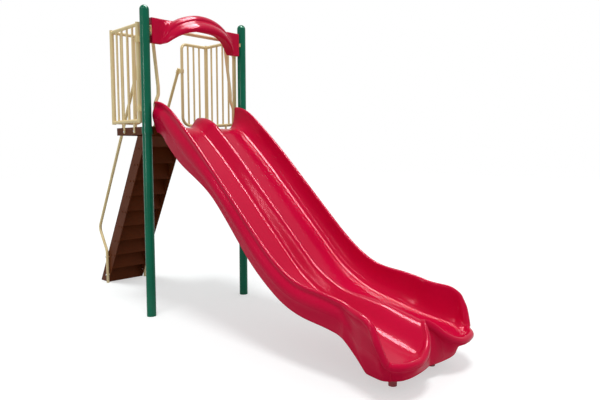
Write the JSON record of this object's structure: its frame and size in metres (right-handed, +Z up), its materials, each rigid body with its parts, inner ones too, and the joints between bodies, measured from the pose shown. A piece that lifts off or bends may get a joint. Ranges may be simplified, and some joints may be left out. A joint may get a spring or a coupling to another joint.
{
  "type": "wave slide",
  "caption": "Free-standing double wave slide with side-by-side chutes, an arched hood, posts, a railed deck and a closed stair with handrails.",
  "frame": {"origin": "middle of the bounding box at ground level", "axes": "+X from the stair to the slide's exit, +Y across the chutes, +Z up"},
  "size_m": [4.6518, 1.2558, 2.9475],
  "materials": {
    "crimson_plastic": "smooth moulded plastic with a soft gloss",
    "crimson_paint": "gloss powder coat",
    "green_paint": "gloss powder coat",
    "tan_paint": "satin powder coat",
    "brown_coat": "matt dipped coating",
    "bolt_steel": "zinc-plated"
  },
  "bodies": {
    "root": {"left_post": "green_paint", "right_post": "green_paint", "left_post_cap": "green_paint", "right_post_cap": "green_paint", "deck": "brown_coat", "left_deck_clamp": "green_paint", "right_deck_clamp": "green_paint", "slide_bed": "crimson_plastic", "left_exit_leg": "crimson_paint", "right_exit_leg": "crimson_paint", "slide_hood": "crimson_plastic", "left_hood_clamp": "tan_paint", "right_hood_clamp": "tan_paint", "entry_hoop": "tan_paint", "left_side_barrier": "tan_paint", "right_side_barrier": "tan_paint", "left_rear_barrier": "tan_paint", "right_rear_barrier": "tan_paint", "left_barrier_clamps": "tan_paint", "right_barrier_clamps": "tan_paint", "left_stringer": "brown_coat", "right_stringer": "brown_coat", "step_1": "brown_coat", "step_2": "brown_coat", "step_3": "brown_coat", "step_4": "brown_coat", "step_5": "brown_coat", "step_6": "brown_coat", "step_7": "brown_coat", "step_8": "brown_coat", "step_9": "brown_coat", "top_riser": "brown_coat", "left_handrail": "tan_paint", "right_handrail": "tan_paint", "left_handrail_clamp": "tan_paint", "right_handrail_clamp": "tan_paint", "slide_bolts": "bolt_steel", "deck_bolts": "bolt_steel", "barrier_bolts": "bolt_steel", "hoop_bolts": "bolt_steel", "hood_bolts": "bolt_steel", "step_bolts": "brown_coat", "handrail_bolts": "bolt_steel"}
  },
  "joints": []
}
